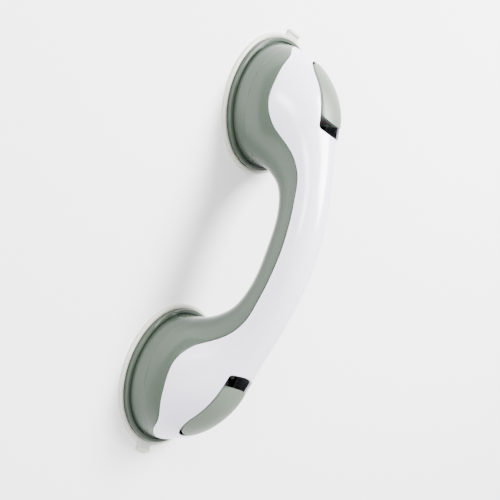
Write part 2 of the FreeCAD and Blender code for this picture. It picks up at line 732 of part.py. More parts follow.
def make_lever(name):
    """A crowned, hollow lever with two cam cheeks that run on the pin."""
    half, corner = dim("lever_half_width"), dim("lever_corner")
    inner, outer = dim("lever_inner"), dim("lever_outer")
    bow = dim("lever_bow_rise")
    body = new_body(name)
    plan = new_sketch(body, name + "_plan", "XY_Plane", 20)
    add_outline(plan, (
        (inner + corner + bow, -half), (outer - half, -half, half), (outer, 0, half),
        (outer - half, half), (inner + corner + bow, half, corner),
        (inner + bow, half - corner, dim("lever_bow_radius")),
        (inner + bow, -half + corner, corner)))
    pad(body, plan, name + "_blank", dim("lever_top") - 20)
    document.recompute()

    start = (dim("crown_start_out"), dim("crown_start_height"))
    end = (dim("crown_end_out"), dim("crown_end_height"))
    lean = (dim("crown_lean_out"), dim("crown_lean_up"))

    def beyond(point, distance):
        return (point[0] + lean[0] * distance, point[1] + lean[1] * distance)

    def turn_down(part, first, last, across):
        """Cut away all outside a bowed round bar whose top line runs first to last."""
        over = new_sketch(body, name + "_over_" + part, "XZ_Plane")
        add_outline(over, (first + (-dim("crown_along"),), last, beyond(last, 45),
                           beyond(first, 45)))
        axis_ends = (beyond(first, -across), beyond(last, -across))
        spots = [Vector(p[0].value, p[1].value, 0) for p in axis_ends]
        axis = over.addGeometry(Part.LineSegment(spots[0], spots[1]), True)
        place_point(over, axis, 1, axis_ends[0])
        place_point(over, axis, 2, axis_ends[1])
        before = body.Shape.Volume
        revolve(body, over, name + "_" + part, "PartDesign::Groove", "Axis0")
        document.recompute()
        if not body.Shape.Volume < before:
            raise ValueError("the %s cuts nothing" % part)

    turn_down("crown", start, end, dim("crown_across"))
    turn_down("shoulders", beyond(start, dim("shoulder_inner_lift")),
              beyond(end, dim("shoulder_outer_lift")), dim("shoulder_across"))

    sweep_end(body, name)
    below = new_sketch(body, name + "_below_skirt", "XZ_Plane")
    skirt_inner, skirt_outer = dim("skirt_inner_height"), dim("skirt_outer_height")
    skirt_cam, skirt_knee = dim("skirt_cam_height"), dim("skirt_knee_height")
    add_outline(below, (
        (inner - 2, 10), (outer + 2, 10), (outer + 2, skirt_outer), (outer - 9, skirt_knee),
        (14, skirt_cam), (inner - 2, skirt_inner)))
    pocket_through(body, below, name + "_skirt")
    wall = dim("lever_end_wall")
    hollow = new_sketch(body, name + "_hollow_outline", "XZ_Plane")
    add_outline(hollow, (
        (inner + wall, skirt_inner - 10), (outer - 10, skirt_outer), (outer - 5, skirt_knee - 5.5),
        (14, skirt_cam + dim("lever_wall")), (inner + wall, skirt_inner + dim("lever_wall"))))
    pocket_across(body, hollow, name + "_hollow", dim("cheek_inner") + dim("cheek_thickness"))
    eye_way = new_sketch(body, name + "_eye_way_outline", "XZ_Plane")
    room = dim("eye_half_length") + dim("lever_gap")
    add_outline(eye_way, (
        (inner - 2, 40), (room, 40), (room, dim("pin_height"), room),
        (0, dim("pin_height") + room), (inner - 2, dim("pin_height") + room)))
    pocket_across(body, eye_way, name + "_eye_way", dim("cheek_inner"))
    document.recompute()

    cheek_sketch = new_sketch(body, name + "_cheek_outline", "XZ_Plane", dim("cheek_inner"))
    for side in cam_outline():
        cheek_sketch.addGeometry(side, False)
    cheek = pad(body, cheek_sketch, name + "_cheek", dim("cheek_thickness"))
    document.recompute()
    both = body.newObject("PartDesign::Mirrored", name + "_cheeks")
    both.Originals = [cheek]
    both.MirrorPlane = (origin_part(body, "XZ_Plane"), [""])
    body.Tip = both
    document.recompute()
    bore = new_sketch(body, name + "_bore_outline", "XZ_Plane")
    add_circle(bore, (0, dim("pin_height")), dim("pin_radius") + dim("pin_clearance"))
    pocket_across(body, bore, name + "_bore", dim("cheek_inner") + dim("cheek_thickness"))
    return body


def make_release_spring(name):
    """The spring between the tower and the stem's foot, drawn closed up."""
    wire = num("spring_wire")
    bottom = num("stem_foot_height") + num("stem_foot_thickness") + wire + 0.05
    top = num("spring_seat") - wire - 0.05
    radius = num("spring_radius")
    helix = Part.makeHelix((top - bottom) / 2, top - bottom, radius)
    helix.translate(Vector(0, 0, bottom))
    start = helix.Edges[0].valueAt(helix.Edges[0].FirstParameter)
    section = Part.makeCircle(wire, start, helix.Edges[0].tangentAt(0))
    coil = Part.Wire(helix.Edges).makePipeShell([Part.Wire(section)], True, True)
    return feature_of(name, coil)


def screw_shape(spot, underside):
    """A pan-headed screw standing head down, its head's underside at a height."""
    head = post(spot, num("screw_head_radius"), underside, underside + num("screw_head_height"))
    shank_top = underside + num("screw_head_height") + num("screw_length")
    shank = post(spot, num("screw_radius"), underside + 0.5, shank_top - 1)
    point = Part.makeCone(num("screw_radius"), 0.4, 1, Vector(spot[0], spot[1], shank_top - 1))
    recess = post(spot, 1.1, underside - 1, underside + 0.9)
    return head.fuse([shank, point]).removeSplitter().cut(recess)


def make_screws(name, spots, underside):
    """The like screws of both ends, as one group of separate solids."""
    screws = []
    for spot in spots:
        screws += both_ends(screw_shape(spot, underside))
    return feature_of(name, Part.makeCompound(screws))


ENDS = (("right", 1, 0), ("left", -1, 180))
END_PIECES = (
    ("pressure_plate", make_pressure_plate),
    ("suction_cup", make_suction_cup),
    ("cup_stem", make_cup_stem),
    ("pivot_pin", make_pivot_pin),
    ("cam_wear_plate", make_wear_plate),
    ("lever", make_lever),
    ("release_spring", make_release_spring),
)

parts = []
upper_cover, lower_cover = make_covers()
parts.append(feature_of("upper_cover", upper_cover))
parts.append(feature_of("lower_cover", lower_cover))
for end, sign, turn in ENDS:
    for piece, make in END_PIECES:
        made = make("%s_%s" % (piece, end))
        made.Placement = Placement(
            Vector(sign * num("cup_axis"), 0, 0), Rotation(Vector(0, 0, 1), turn))
        parts.append(made)
parts.append(make_screws("deck_screws", deck_screw_spots(),
                         num("plate_deck") - num("plate_web")))
parts.append(make_screws("cover_screws", cover_screw_spots(),
                         num("lug_bottom") - num("screw_head_height")))

document.recompute()
for item in document.Objects:
    if "Invalid" in item.State or "Error" in item.State:
        raise ValueError("%s did not recompute: %s" % (item.Name, item.State))
for item in parts:
    if item.Shape.isNull() or not item.Shape.isValid():
        raise ValueError("%s has no valid shape" % item.Label)

os.makedirs("parts", exist_ok=True)
for item in parts:
    item.Shape.exportStep("parts/%s.step" % item.Label)
    print("%-24s solids %d  volume %.0f" % (
        item.Label, len(item.Shape.Solids), item.Shape.Volume))
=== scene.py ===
"""Suction grab bar: the finished look of every piece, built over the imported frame."""

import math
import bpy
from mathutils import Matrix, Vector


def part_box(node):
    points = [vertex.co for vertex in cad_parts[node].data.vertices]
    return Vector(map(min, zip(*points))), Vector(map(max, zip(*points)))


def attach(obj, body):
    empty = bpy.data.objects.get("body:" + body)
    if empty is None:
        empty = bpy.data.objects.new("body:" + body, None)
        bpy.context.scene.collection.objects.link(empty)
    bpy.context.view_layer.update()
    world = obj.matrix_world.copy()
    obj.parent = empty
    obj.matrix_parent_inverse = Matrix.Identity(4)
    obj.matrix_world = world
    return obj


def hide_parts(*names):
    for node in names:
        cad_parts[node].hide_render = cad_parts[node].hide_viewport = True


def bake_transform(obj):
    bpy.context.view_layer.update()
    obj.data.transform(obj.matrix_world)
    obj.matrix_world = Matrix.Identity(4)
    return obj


bl_info = {
    "name": "Suction Grab Bar",
    "version": (1, 0, 0),
    "blender": (4, 5, 0),
    "location": "View3D > Sidebar > Grab Bar",
    "description": "Models the shells, levers, rims and cups of a suction grab bar",
    "category": "Add Mesh",
}

import bmesh
import bpy
import numpy as np
from mathutils import Matrix, Vector

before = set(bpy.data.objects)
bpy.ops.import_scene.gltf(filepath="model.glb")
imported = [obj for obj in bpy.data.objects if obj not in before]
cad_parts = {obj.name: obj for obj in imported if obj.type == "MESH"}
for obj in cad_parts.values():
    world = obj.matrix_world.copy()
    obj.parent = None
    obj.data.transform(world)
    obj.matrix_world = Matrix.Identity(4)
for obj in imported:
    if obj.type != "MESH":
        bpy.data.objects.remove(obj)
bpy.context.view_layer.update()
MM = 0.001
ENDS = (("right", 1), ("left", -1))
PLATE_LOW, PLATE_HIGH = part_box("pressure_plate_right")
CUP_AXIS = (PLATE_LOW.x + PLATE_HIGH.x) / 2
GRIP_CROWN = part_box("upper_cover")[1].z
CASING_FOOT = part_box("lower_cover")[0].z
DRUM_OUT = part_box("upper_cover")[1].x
DRUM_RADIUS = DRUM_OUT - CUP_AXIS
RIM_RADIUS = PLATE_HIGH.x - CUP_AXIS
LIP_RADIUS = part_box("suction_cup_right")[1].y
TAB_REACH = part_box("suction_cup_right")[1].x - CUP_AXIS
LEVER_LOW, LEVER_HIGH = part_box("lever_right")
LIP_STEPS = 4
MERGE_DISTANCE = 1e-6
SLOT_INNER = -13.6 * MM
SLOT_ARCH = 1.6 * MM
SLOT_CORNER = 2 * MM
TAB_HALF_WIDTH = 6.4 * MM
TAB_FOOT = 0.35 * MM
TAB_THICKNESS = 1.1 * MM
TAB_CORNER = 2.5 * MM
BEAD_WIDTH = 2.2 * MM
BEAD_HEIGHT = 1.9 * MM
BEAD_CORNER = 0.9 * MM


# ------------------------------------------------------------------ settings

class GrabBarSizes(bpy.types.PropertyGroup):
    """Sizes that the CAD frame doesn't hold, because they are finishing touches."""
    casing_wall: bpy.props.FloatProperty(
        name="Casing Wall", description="Wall of both covers",
        default=2.4 * MM, unit="LENGTH")
    seam_gap: bpy.props.FloatProperty(
        name="Seam Gap", description="Shadow gap between the covers",
        default=0.3 * MM, unit="LENGTH")
    seam_round: bpy.props.FloatProperty(
        name="Seam Round", description="Rounding of the covers' edges",
        default=0.6 * MM, unit="LENGTH")
    slot_round: bpy.props.FloatProperty(
        name="Slot Round", description="Rounding of the lever slots' edges",
        default=0.7 * MM, unit="LENGTH")
    lever_gap: bpy.props.FloatProperty(
        name="Lever Gap", description="Gap around a lever in its slot",
        default=0.6 * MM, unit="LENGTH")
    rings: bpy.props.IntProperty(
        name="Rings", description="Cross sections along half of the casing", default=150)
    around: bpy.props.IntProperty(
        name="Around", description="Faces across each cover", default=110)


class GrabBarColours(bpy.types.PropertyGroup):
    """Base colours of the finishes."""
    white: bpy.props.FloatVectorProperty(
        name="White Shell", description="Upper cover", subtype="COLOR", size=3,
        default=(0.84, 0.82, 0.96), min=0, max=1)
    sage: bpy.props.FloatVectorProperty(
        name="Sage Shell", description="Lower cover and rims", subtype="COLOR", size=3,
        default=(0.060, 0.079, 0.061), min=0, max=1)
    lever: bpy.props.FloatVectorProperty(
        name="Lever", description="Levers", subtype="COLOR", size=3,
        default=(0.118, 0.148, 0.112), min=0, max=1)
    cup: bpy.props.FloatVectorProperty(
        name="Cup", description="Suction cups", subtype="COLOR", size=3,
        default=(0.80, 0.80, 0.70), min=0, max=1)
    steel: bpy.props.FloatVectorProperty(
        name="Steel", description="Pins, washers, springs and screws", subtype="COLOR", size=3,
        default=(0.60, 0.60, 0.61), min=0, max=1)
    # The stem colour is partly the stems' own dark plastic and partly painted shade: its
    # brown-purple tone copies the shaded pocket inside the drum, seen through the lever slots, and
    # it is set a little lighter to stand in for light reaching in there.
    stem: bpy.props.FloatVectorProperty(
        name="Stem", description="Stems", subtype="COLOR", size=3,
        default=(0.11, 0.08, 0.09), min=0, max=1)


# ------------------------------------------------------------------ mesh helpers

def finish_mesh(bm, name, material, sharp_angle=35):
    """Turns a bmesh into a piece with smooth faces and sharp hard edges."""
    for face in bm.faces:
        face.smooth = True
    limit = math.radians(sharp_angle)
    for edge in bm.edges:
        if len(edge.link_faces) == 2 and edge.calc_face_angle(0) > limit:
            edge.smooth = False
    mesh = bpy.data.meshes.new(name)
    bm.to_mesh(mesh)
    bm.free()
    piece = bpy.data.objects.new(name, mesh)
    bpy.context.scene.collection.objects.link(piece)
    piece.data.materials.append(material)
    return piece


def turn_to_end(bm, side):
    """Moves a mesh made about the cup axis to one end of the bar."""
    if side < 0:
        bmesh.ops.rotate(bm, verts=bm.verts, cent=(0, 0, 0), matrix=Matrix.Rotation(math.pi, 3, "Z"))
    bmesh.ops.translate(bm, verts=bm.verts, vec=(side * CUP_AXIS, 0, 0))


def spun(profile, steps):
    """A closed turned solid from a closed or axis-to-axis profile of (radius, height)."""
    bm = bmesh.new()
    spots = [bm.verts.new((radius, 0, height)) for radius, height in profile]
    edges = [bm.edges.new(pair) for pair in zip(spots, spots[1:])]
    if profile[0][0] > 0:
        edges.append(bm.edges.new((spots[-1], spots[0])))
    bmesh.ops.spin(
        bm, geom=spots + edges, cent=(0, 0, 0), axis=(0, 0, 1),
        angle=2 * math.pi, steps=steps, use_merge=True)
    bmesh.ops.remove_doubles(bm, verts=bm.verts, dist=MERGE_DISTANCE)
    bmesh.ops.recalc_face_normals(bm, faces=bm.faces)
    return bm


def rounded(corners, segments=5):
    """A profile whose corners (across, up, radius) are eased into arcs."""
    result = []
    count = len(corners)
    for index, (across, up, radius) in enumerate(corners):
        here = Vector((across, up))
        if radius <= 0:
            result.append((across, up))
            continue
        before = Vector(corners[index - 1][:2]) - here
        after = Vector(corners[(index + 1) % count][:2]) - here
        half = before.angle(after) / 2
        run = radius / math.tan(half)
        run = min(run, before.length * 0.49, after.length * 0.49)
        start = here + before.normalized() * run
        end = here + after.normalized() * run
        for step in range(segments + 1):
            part = step / segments
            spot = (1 - part) ** 2 * start + 2 * part * (1 - part) * here + part ** 2 * end
            result.append((spot.x, spot.y))
    return result


# ------------------------------------------------------------------ casing form

def spline_samples(points, count=4000):
    """Even samples of the smooth curve through points, by chord length."""
    spots = np.array(points, float)
    steps = np.hypot(*np.diff(spots, axis=0).T)
    knots = np.concatenate(([0.0], np.cumsum(steps)))
    size = len(knots)
    system = np.eye(size)
    pull = np.zeros((size, spots.shape[1]))
    for row in range(1, size - 1):
        before, after = steps[row - 1], steps[row]
        system[row, row - 1:row + 2] = (before, 2 * (before + after), after)
        pull[row] = 6 * ((spots[row + 1] - spots[row]) / after
                         - (spots[row] - spots[row - 1]) / before)
    bend = np.linalg.solve(system, pull)
    places = np.linspace(0, knots[-1], count)
    left = np.clip(np.searchsorted(knots, places) - 1, 0, size - 2)
    span = steps[left][:, None]
    near = (places - knots[left])[:, None]
    far = span - near
    return (bend[left] * far ** 3 / (6 * span) + bend[left + 1] * near ** 3 / (6 * span)
            + (spots[left] / span - bend[left] * span / 6) * far
            + (spots[left + 1] / span - bend[left + 1] * span / 6) * near)


def mirrored_curve(points):
    """Right-hand samples, in mm, of a curve that carries on evenly to the left."""
    left = [(-across, up) for across, up in points[:0:-1]]
    samples = spline_samples(left + list(points))
    return samples[samples[:, 0] >= -1e-9]


class CasingForm:
    """The handle's outside as ovals: level in the drum, fanned in the shoulder, upright
    across the grip.

    A station runs from 0 at the right foot through 1 and 2, where the fan begins and
    ends, to 3 in the middle of the grip, and on to 6 at the left foot.
    """
    fan_out = 26.0
    fan_height = 14.0
    drum_starts_out = 50
    lip_share = 0.45

    def __init__(self):
        crown = GRIP_CROWN / MM
        foot = CASING_FOOT / MM
        out = DRUM_OUT / MM
        inner = (2 * CUP_AXIS - DRUM_OUT) / MM
        self.foot = foot
        self.top = mirrored_curve((
            (0, crown), (20, crown - 1.2), (40, crown - 4.6), (60, crown - 9.8),
            (80, crown - 15.8), (96, crown - 21), (110, crown - 28), (out - 17.6, 39.8),
            (out - 9.6, 30.2), (out - 4, 19.5), (out - 1, 11), (out, foot - 0.01)))
        self.under = mirrored_curve((
            (0, 43.4), (16, 43.0), (30, 40.2), (40, 35.4), (46.4, 29), (inner - 3, 21.5),
            (inner - 0.8, 13.5), (inner, foot - 0.01)))
        self.seam = mirrored_curve((
            (0, 62.1), (12, 61.5), (24, 60.2), (36, 58.2), (48.5, 55.4), (56, 51.7),
            (62, 47.2), (69, 39.4), (74, 33.9), (79, 30.9), (88, 28.1), (96, 27.4),
            (105, 26.8), (115, 25.2), (122, 23.4), (128.5, 19.2), (132.5, 15), (136, 11.4),
            (139, 7.6), (144, 5.2)))
        self.widths = spline_samples((
            (0, 41.9), (10, 38.4), (20, 32.3), (30, 26.2), (45, 20.3), (60, 17.8), (90, 16.4)))

    def cross(self, curve, station):
        """Where a side outline meets the plane of a station of the right half."""
        if station <= 1:
            height = self.foot + station * (self.fan_height - self.foot)
            drum = curve[curve[:, 0] > self.drum_starts_out]
            return np.array((np.interp(-height, -drum[:, 1], drum[:, 0]), height))
        if station <= 2:
            turn = math.radians(90 * (station - 1))
            turns = np.arctan2(curve[:, 1] - self.fan_height, curve[:, 0] - self.fan_out)
            keep = (turns > -0.2) & (turns < math.pi / 2 + 0.4)
            order = np.argsort(turns[keep])
            chosen = curve[keep][order]
            return np.array([np.interp(turn, turns[keep][order], chosen[:, k]) for k in (0, 1)])
        out = self.fan_out * (3 - station)
        return np.array((out, np.interp(out, curve[:, 0], curve[:, 1])))

    def section(self, station):
        """Centre, reach and half width of the oval at a station, in mm."""
        side = 1
        if station > 3:
            station = 6 - station
            side = -1
        inner = self.cross(self.under, station)
        outer = self.cross(self.top, station)
        centre = (inner + outer) / 2
        reach = (outer - inner) / 2
        if station <= 1:
            width = np.hypot(*reach)
        else:
            angle = 90 * min(station - 1, 1)
            width = np.interp(angle, self.widths[:, 0], self.widths[:, 1])
        return centre, reach, width, side

    def place(self, oval, turn, depth=0.0):
        """A point (x, y, z) of an oval, turned from the outer or top point, at a depth."""
        centre, reach, width, side = oval
        length = np.hypot(*reach)
        normal = np.array((width * math.cos(turn), length * math.sin(turn)))
        normal = normal / np.hypot(*normal)
        across = centre + reach * math.cos(turn) - reach / length * normal[0] * depth
        return side * across[0], width * math.sin(turn) - normal[1] * depth, across[1]

    def speed(self, oval, turn):
        """Length along an oval for each radian of turn."""
        return math.hypot(np.hypot(*oval[1]) * math.sin(turn), oval[2] * math.cos(turn))

    def seam_turn(self, oval):
        """How far round an oval the covers part."""
        low, high = 0.0, math.pi
        for _ in range(40):
            middle = (low + high) / 2
            out, _, height = self.place(oval, middle)
            if height > np.interp(abs(out), self.seam[:, 0], self.seam[:, 1]):
                low = middle
            else:
                high = middle
        return low

    def apex(self, opening=0.0):
        """The station, over the outer end of the foot, where the seam has opened so far."""
        low, high = 0.0, 1.0
        for _ in range(40):
            middle = (low + high) / 2
            oval = self.section(middle)
            if self.seam_turn(oval) * oval[2] > opening:
                high = middle
            else:
                low = middle
        return high


def station_list(form, rings, gap, upper):
    """Stations spaced for even faces, closer where the seam turns quickly."""
    start = form.apex(gap if upper else 0.0)
    rise = start + (1 - start) * np.linspace(0, 1, rings // 5, endpoint=False) ** 2
    parts = [rise, np.linspace(1, 1.2, rings // 5, endpoint=False),
             np.linspace(1.2, 2, rings // 2, endpoint=False), np.linspace(2, 3, rings // 7)]
    if not upper:
        parts.insert(0, np.linspace(0, start, rings // 16, endpoint=False))
    half = np.concatenate(parts)
    return np.concatenate((half, 6 - half[-2::-1]))


def wall_track(across):
    """A wall's cross section in order: outer face, curled lip, inner face, curled lip.

    Each step holds its part of the turn, its share of the curl's run (signed), and its
    depth as shares of the curl's radius and of the wall.
    """
    bends = [math.radians(90 * step / LIP_STEPS) for step in range(1, LIP_STEPS + 1)]
    track = [(-1 + 2 * step / across, 0, 0, 0) for step in range(across + 1)]
    track += [(1, math.sin(bend), 1 - math.cos(bend), 0) for bend in bends]
    inside = across // 2
    for step in range(inside + 1):
        part = 1 - 2 * step / inside
        track.append((part, part, 0, 1))
    track += [(-1, -math.sin(bend), 1 - math.cos(bend), 0) for bend in reversed(bends)]
    return track + track[:1]


def cover_wall(form, sizes, upper):
    """One cover as a closed wall; the faces of its inner side carry material index 1."""
    gap = sizes.seam_gap / MM / 2
    radius = sizes.seam_round / MM
    wall = sizes.casing_wall / MM
    stations = station_list(form, sizes.rings, gap, upper)
    track = wall_track(sizes.around)
    across = sizes.around
    inner_start = across + LIP_STEPS + 1
    inner_end = inner_start + across // 2
    apex = form.apex()
    bm = bmesh.new()
    bmesh.ops.create_grid(bm, x_segments=len(stations) - 1, y_segments=len(track) - 1, size=1)
    grid_places = np.linspace(-1, 1, len(stations))
    columns = np.linspace(-1, 1, len(track))
    closed_lips = []
    for face in bm.faces:
        middle = face.calc_center_median()
        column = int(np.searchsorted(columns, middle.y)) - 1
        station = float(np.interp(middle.x, grid_places, stations))
        face.material_index = int(inner_start <= column < inner_end)
        is_lip = across <= column < inner_start or column >= inner_end
        if is_lip and not upper and min(station, 6 - station) < apex:
            closed_lips.append(face)
    bmesh.ops.delete(bm, geom=closed_lips, context="FACES")
    ovals = {}
    for vert in bm.verts:
        row = int(np.argmin(np.abs(grid_places - vert.co.x)))
        if row not in ovals:
            oval = form.section(float(stations[row]))
            ovals[row] = (oval, form.seam_turn(oval))
        oval, seam = ovals[row]
        part, run, curl, inner = track[int(np.argmin(np.abs(columns - vert.co.y)))]
        half_gap = gap / oval[2]
        if upper:
            limit = max(seam - half_gap, 0)
            start, near = 0.0, limit
        else:
            limit = math.pi - seam - min(half_gap, seam)
            start, near = math.pi, seam
        speed = form.speed(oval, start + limit)
        round_here = min(radius, form.lip_share * near * speed)
        ease = round_here / speed
        turn = start + part * (limit - ease) + run * ease
        depth = curl * round_here + inner * wall
        vert.co = Vector(form.place(oval, turn, depth)) * MM
    bmesh.ops.remove_doubles(bm, verts=bm.verts, dist=MERGE_DISTANCE)
    close_feet(bm)
    bmesh.ops.recalc_face_normals(bm, faces=bm.faces)
    return bm


def close_feet(bm):
    """Joins the inner and outer rims of the two open feet."""
    for side in (1, -1):
        rims = [edge for edge in bm.edges if edge.is_boundary and edge.verts[0].co.x * side > 0]
        if rims:
            bmesh.ops.bridge_loops(bm, edges=rims)


# ------------------------------------------------------------------ shader groups

def new_group(name, inputs, outputs):
    """An empty shader node group with named sockets."""
    group = bpy.data.node_groups.new(name, "ShaderNodeTree")
    for label, kind, default in inputs:
        socket = group.interface.new_socket(label, in_out="INPUT", socket_type=kind)
        socket.default_value = default
    for label, kind in outputs:
        group.interface.new_socket(label, in_out="OUTPUT", socket_type=kind)
    entry = group.nodes.new("NodeGroupInput")
    leave = group.nodes.new("NodeGroupOutput")
    return group, entry, leave


def noise(tree, coordinates, scale, detail=3, roughness=0.5):
    """The value of a noise pattern, whose scale is a number or a socket."""
    node = tree.nodes.new("ShaderNodeTexNoise")
    node.inputs["Detail"].default_value = detail
    node.inputs["Roughness"].default_value = roughness
    if isinstance(scale, (int, float)):
        node.inputs["Scale"].default_value = scale
    else:
        tree.links.new(scale, node.inputs["Scale"])
    tree.links.new(coordinates, node.inputs["Vector"])
    return node.outputs["Fac"]


def spread(tree, value, low, high):
    """Maps 0..1 onto low..high, where either end may be a socket."""
    node = tree.nodes.new("ShaderNodeMapRange")
    tree.links.new(value, node.inputs["Value"])
    for label, end in (("To Min", low), ("To Max", high)):
        if isinstance(end, (int, float)):
            node.inputs[label].default_value = end
        else:
            tree.links.new(end, node.inputs[label])
    return node.outputs["Result"]


def make_moulded_group():
    """Moulded plastic: slow colour drift, fine grain, uneven gloss and a faint ripple."""
    group, entry, leave = new_group(
        "moulded surface",
        (("Colour", "NodeSocketColor", (0.5, 0.5, 0.5, 1)),
         ("Drift", "NodeSocketFloat", 0.06),
         ("Grain Scale", "NodeSocketFloat", 2500),
         ("Grain Depth", "NodeSocketFloat", 0.1),
         ("Ripple Depth", "NodeSocketFloat", 0.1),
         ("Smooth Roughness", "NodeSocketFloat", 0.2),
         ("Rough Roughness", "NodeSocketFloat", 0.3)),
        (("Colour", "NodeSocketColor"), ("Roughness", "NodeSocketFloat"),
         ("Normal", "NodeSocketVector")))
    place = group.nodes.new("ShaderNodeTexCoord").outputs["Object"]
    slow = noise(group, place, 28, 2)
    fine = noise(group, place, entry.outputs["Grain Scale"], 4, 0.65)
    smear = noise(group, place, 160, 4, 0.6)

    hue = group.nodes.new("ShaderNodeHueSaturation")
    group.links.new(entry.outputs["Colour"], hue.inputs["Color"])
    drift = group.nodes.new("ShaderNodeMath")
    drift.operation = "MULTIPLY_ADD"
    both = group.nodes.new("ShaderNodeMath")
    both.operation = "ADD"
    group.links.new(slow, both.inputs[0])
    group.links.new(fine, both.inputs[1])
    group.links.new(spread(group, both.outputs[0], -1.0, 0.0), drift.inputs[0])
    group.links.new(entry.outputs["Drift"], drift.inputs[1])
    drift.inputs[2].default_value = 1.0
    group.links.new(drift.outputs[0], hue.inputs["Value"])
    group.links.new(hue.outputs["Color"], leave.inputs["Colour"])

    group.links.new(
        spread(group, smear, entry.outputs["Smooth Roughness"], entry.outputs["Rough Roughness"]),
        leave.inputs["Roughness"])

    ripple = group.nodes.new("ShaderNodeBump")
    ripple.inputs["Distance"].default_value = 0.4 * MM
    group.links.new(entry.outputs["Ripple Depth"], ripple.inputs["Strength"])
    group.links.new(noise(group, place, 90, 2), ripple.inputs["Height"])
    grain = group.nodes.new("ShaderNodeBump")
    grain.inputs["Distance"].default_value = 0.05 * MM
    group.links.new(entry.outputs["Grain Depth"], grain.inputs["Strength"])
    group.links.new(fine, grain.inputs["Height"])
    group.links.new(ripple.outputs["Normal"], grain.inputs["Normal"])
    group.links.new(grain.outputs["Normal"], leave.inputs["Normal"])
    return group


def new_material(name):
    """A material with only its shader, and that shader."""
    material = bpy.data.materials.new(name)
    material.use_nodes = True
    return material, material.node_tree.nodes["Principled BSDF"]


def moulded_material(name, colour, **values):
    """A plastic or rubber finish made from the moulded group."""
    material, shader = new_material(name)
    tree = material.node_tree
    moulded = bpy.data.node_groups.get("moulded surface") or make_moulded_group()
    group = tree.nodes.new("ShaderNodeGroup")
    group.node_tree = moulded
    group.inputs["Colour"].default_value = (*colour, 1)
    for label, value in values.items():
        group.inputs[label.replace("_", " ").title()].default_value = value
    tree.links.new(group.outputs["Colour"], shader.inputs["Base Color"])
    tree.links.new(group.outputs["Roughness"], shader.inputs["Roughness"])
    tree.links.new(group.outputs["Normal"], shader.inputs["Normal"])
    return material, shader


def white_shell():
    colours = bpy.context.scene.grab_bar_colours
    material, shader = moulded_material(
        "white shell", colours.white, drift=0.02, grain_scale=3000, grain_depth=0.03,
        ripple_depth=0.03, smooth_roughness=0.16, rough_roughness=0.24)
    shader.inputs["Coat Weight"].default_value = 0.35
    shader.inputs["Coat Roughness"].default_value = 0.08
    return material


def sage_shell():
    colours = bpy.context.scene.grab_bar_colours
    material, shader = moulded_material(
        "sage shell", colours.sage, drift=0.08, grain_scale=2600, grain_depth=0.04,
        ripple_depth=0.03, smooth_roughness=0.12, rough_roughness=0.18)
    shader.inputs["Specular IOR Level"].default_value = 0.28
    return material


def lever_plastic():
    colours = bpy.context.scene.grab_bar_colours
    material, _ = moulded_material(
        "lever plastic", colours.lever, drift=0.3, grain_scale=1300, grain_depth=0.8,
        ripple_depth=0.06, smooth_roughness=0.36, rough_roughness=0.5)
    return material


def cup_rubber():
    colours = bpy.context.scene.grab_bar_colours
    material, shader = moulded_material(
        "cup rubber", colours.cup, drift=0.04, grain_scale=1800, grain_depth=0.08,
        ripple_depth=0.12, smooth_roughness=0.28, rough_roughness=0.42)
    shader.inputs["Subsurface Weight"].default_value = 0.4
    shader.inputs["Subsurface Radius"].default_value = (0.004, 0.004, 0.003)
    shader.inputs["Subsurface Scale"].default_value = 1.0
    shader.inputs["Transmission Weight"].default_value = 0.25
    shader.inputs["IOR"].default_value = 1.43
    return material


# Stem finish: its colour holds painted shade, the brown-purple of the shaded pocket inside the drum,
# made a little lighter to stand in for light reaching in there.
def stem_plastic():
    colours = bpy.context.scene.grab_bar_colours
    material, _ = moulded_material(
        "stem plastic", colours.stem, drift=0.12, grain_scale=1800, grain_depth=0.25,
        ripple_depth=0.08, smooth_roughness=0.4, rough_roughness=0.55)
    return material


def plated_steel():
    colours = bpy.context.scene.grab_bar_colours
    material, shader = moulded_material(
        "plated steel", colours.steel, drift=0.14, grain_scale=3500, grain_depth=0.2,
        ripple_depth=0.05, smooth_roughness=0.24, rough_roughness=0.42)
    shader.inputs["Metallic"].default_value = 1.0
    return material


def finish_once(maker):
    """The finish of that name, made the first time it is asked for."""
    name = maker.__name__.replace("_", " ")
    return bpy.data.materials.get(name) or maker()


# ------------------------------------------------------------------ pieces

class GRABBAR_OT_covers(bpy.types.Operator):
    """Models the upper and lower covers as two walls parted along the seam"""
    bl_idname = "grabbar.covers"
    bl_label = "Covers"

    def execute(self, context):
        sizes = context.scene.grab_bar_sizes
        form = CasingForm()
        upper = cover_wall(form, sizes, upper=True)
        cut_lever_slots(upper, sizes)
        piece = finish_mesh(upper, "upper_cover_shell", finish_once(white_shell))
        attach(piece, "casing")
        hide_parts("upper_cover")

        lower = cover_wall(form, sizes, upper=False)
        piece = finish_mesh(lower, "lower_cover_shell", finish_once(sage_shell))
        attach(piece, "casing")
        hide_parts("lower_cover")
        return {"FINISHED"}


def slot_outline(sizes, grow):
    """Points and outward normals round a lever slot, grown outwards, about the cup axis."""
    half = (LEVER_HIGH.y - LEVER_LOW.y) / 2 + sizes.lever_gap
    outer = LEVER_HIGH.x - CUP_AXIS + sizes.lever_gap
    corner, inner = SLOT_CORNER, SLOT_INNER
    bend = (half ** 2 + SLOT_ARCH ** 2) / (2 * SLOT_ARCH)
    swing = math.degrees(math.asin((half - corner) / bend))
    shoulder = inner + bend * (1 - math.cos(math.radians(swing))) + corner
    arcs = (
        (outer - half, 0, half, -90, 90, 18),
        (shoulder, half - corner, corner, 90, 180 - swing, 6),
        (inner + bend, 0, bend, 180 - swing, 180 + swing, 8),
        (shoulder, corner - half, corner, 180 + swing, 270, 6))
    outline = []
    for along, across, radius, first, last, steps in arcs:
        for step in range(steps + 1):
            turn = math.radians(first + (last - first) * step / steps)
            normal = Vector((math.cos(turn), math.sin(turn)))
            outline.append((Vector((along, across)) + normal * (radius + grow), normal))
    return outline


def plan_spot(place, side):
    """A place seen from above, about one end's cup axis."""
    return Vector((side * place.x - CUP_AXIS, side * place.y))


